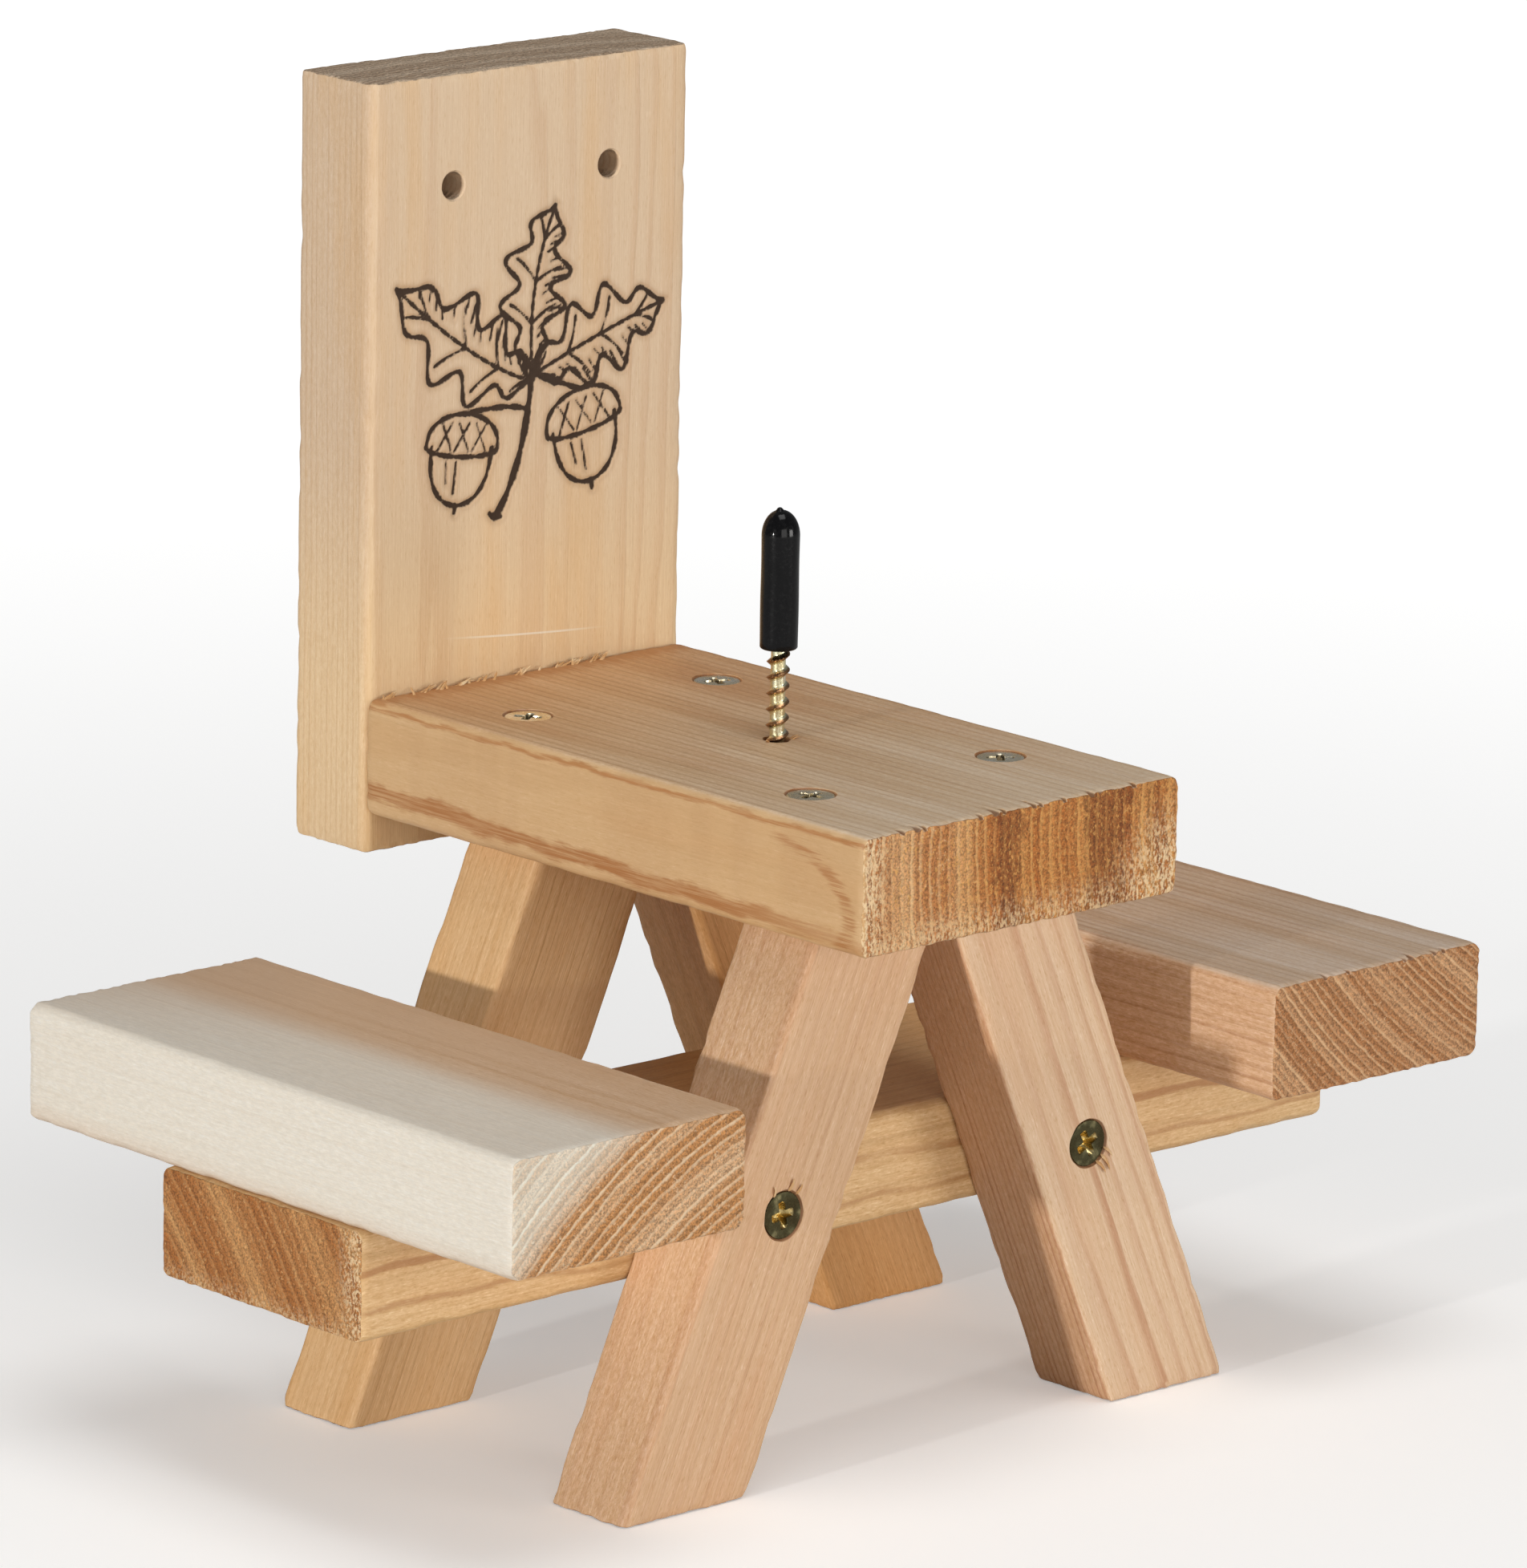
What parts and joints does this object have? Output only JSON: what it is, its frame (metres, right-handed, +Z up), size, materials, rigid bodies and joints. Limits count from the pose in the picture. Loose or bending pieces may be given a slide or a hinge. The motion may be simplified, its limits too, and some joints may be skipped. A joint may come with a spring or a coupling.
{
  "type": "squirrel picnic table feeder",
  "caption": "Small cedar picnic table on splayed legs with bench seats, a tall back board that screws to a tree or post, and an upright capped spike that holds a corn cob for squirrels.",
  "frame": {"origin": "on the floor under the feet, in the middle of the overall width and depth", "axes": "+Z up; -Y is the free end of the table, +Y the back board; X runs across the table from seat to seat"},
  "size_m": [0.273, 0.178, 0.2733],
  "materials": {
    "back_cedar": "bare planed cedar, pale cream tan",
    "table_cedar": "bare planed cedar, grey tan face and golden sides",
    "pale_cedar": "bare planed cedar sapwood, nearly white at the outer edge",
    "seat_cedar": "bare planed cedar, pinkish tan",
    "beam_cedar": "bare planed cedar, golden tan with orange ends",
    "leg_cedar": "bare planed cedar, pinkish tan",
    "yellow_zinc": "yellow zinc plated steel, bright",
    "black_vinyl": "glossy dipped vinyl"
  },
  "bodies": {
    "table": {"back_board": "back_cedar", "table_top": "table_cedar", "left_seat": "pale_cedar", "right_seat": "seat_cedar", "seat_beam": "beam_cedar", "front_left_leg": "leg_cedar", "front_right_leg": "leg_cedar", "rear_left_leg": "leg_cedar", "rear_right_leg": "leg_cedar", "long_screws": "yellow_zinc", "short_screws": "yellow_zinc", "corn_spike": "yellow_zinc"},
    "cap": {"spike_cap": "black_vinyl"}
  },
  "joints": [
    {"name": "cap_pull", "type": "slide", "parent": "table", "child": "cap", "axis": [0, 0, 1], "range_m": [0, 0.04]}
  ]
}
